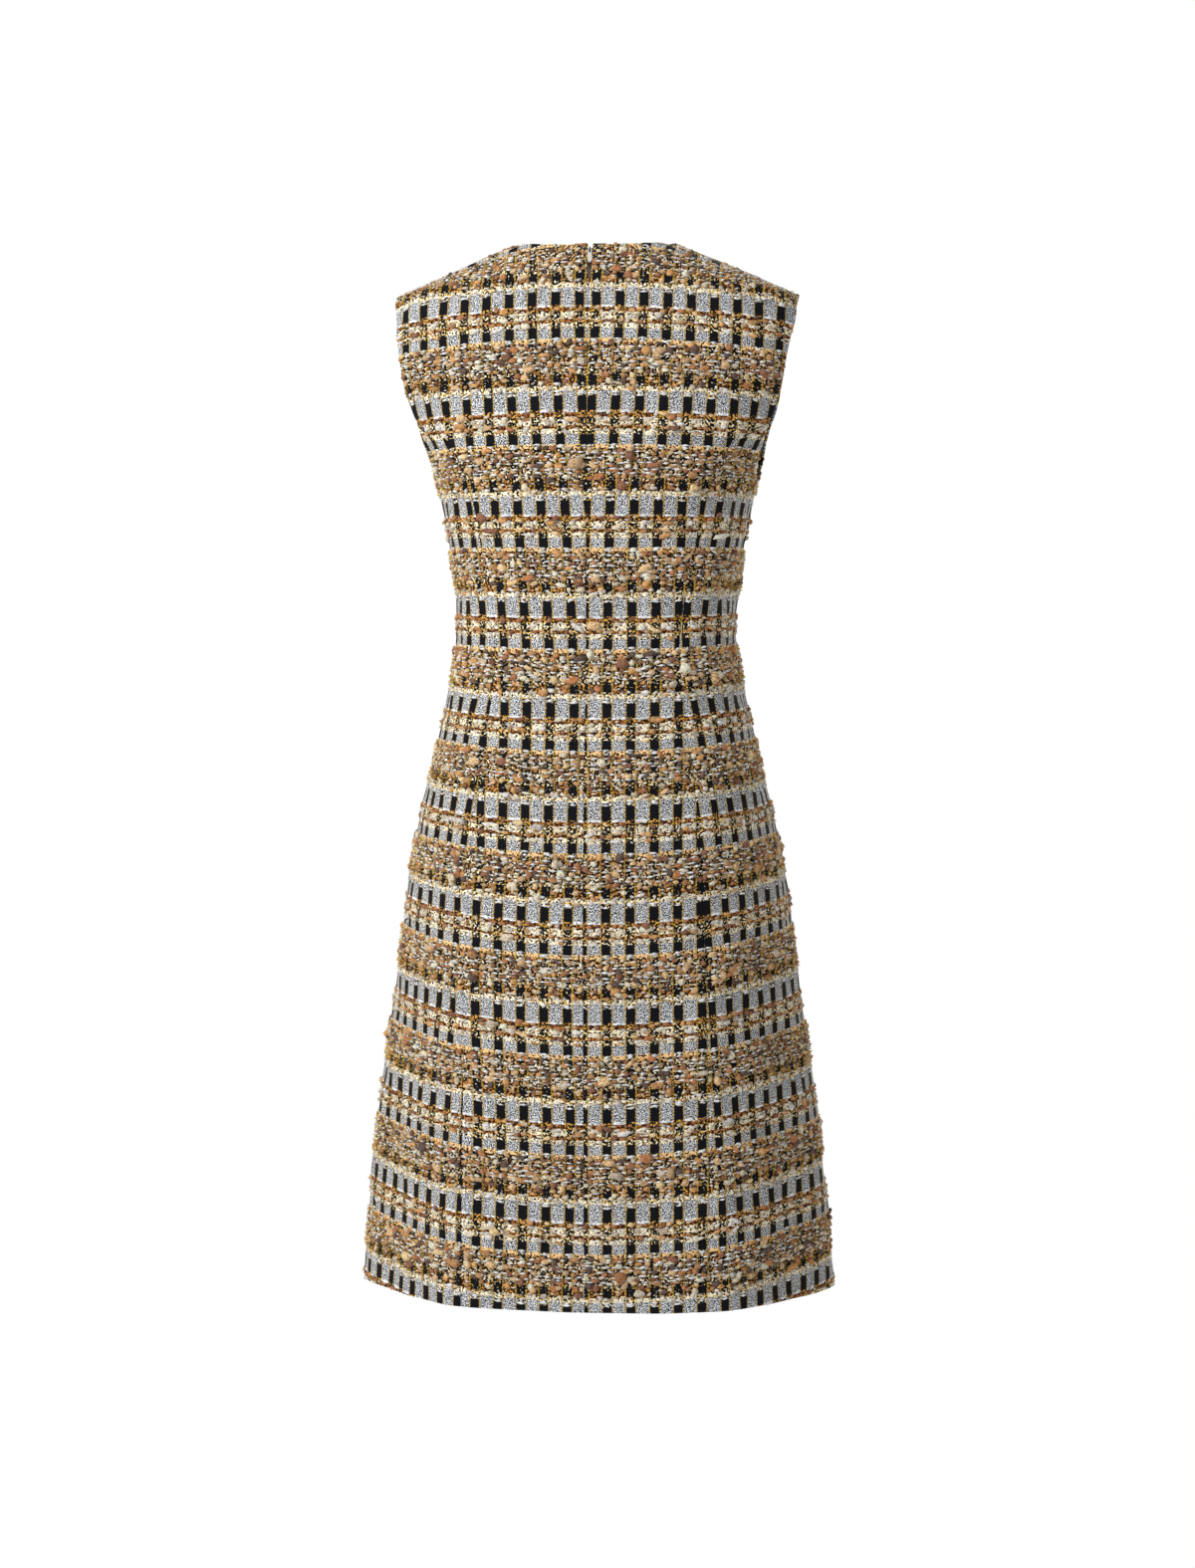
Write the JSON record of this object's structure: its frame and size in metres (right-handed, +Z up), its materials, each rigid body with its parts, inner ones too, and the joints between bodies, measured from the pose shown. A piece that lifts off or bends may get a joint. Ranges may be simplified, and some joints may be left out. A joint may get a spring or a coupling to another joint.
{
  "type": "sleeveless shift dress",
  "caption": "Sleeveless A-line shift dress with jewel neck, princess seams and a centre back zip, hollow in its worn shape, in boucle tweed check.",
  "frame": {"origin": "midway between the two high shoulder points, where the shoulder seams meet the neckline: where the wearer's shoulders hold the dress up", "axes": "+Z up, +Y towards the wearer's back, +X towards the wearer's left"},
  "size_m": [0.442, 0.2645, 0.9572],
  "materials": {
    "tweed": "nubby boucle tweed in tan, brown, black and white checks",
    "zip_tape": "matte woven tape",
    "zip_coil": "satin",
    "zip_metal": "satin"
  },
  "bodies": {
    "dress": {"center_back_left": "tweed", "center_back_right": "tweed", "side_back_left": "tweed", "side_back_right": "tweed", "center_front": "tweed", "side_front_left": "tweed", "side_front_right": "tweed", "zip_tape_left": "zip_tape", "zip_tape_right": "zip_tape", "zip_chain": "zip_coil", "zip_slider": "zip_metal", "zip_stop": "zip_metal"},
    "pull_tab": {"zip_pull_tab": "zip_metal"}
  },
  "joints": [
    {"name": "pull_flip", "type": "hinge", "parent": "dress", "child": "pull_tab", "pos_m": [0, 0.07189, -0.00748], "axis": [1, 0, 0], "range_deg": [0, 150]}
  ]
}
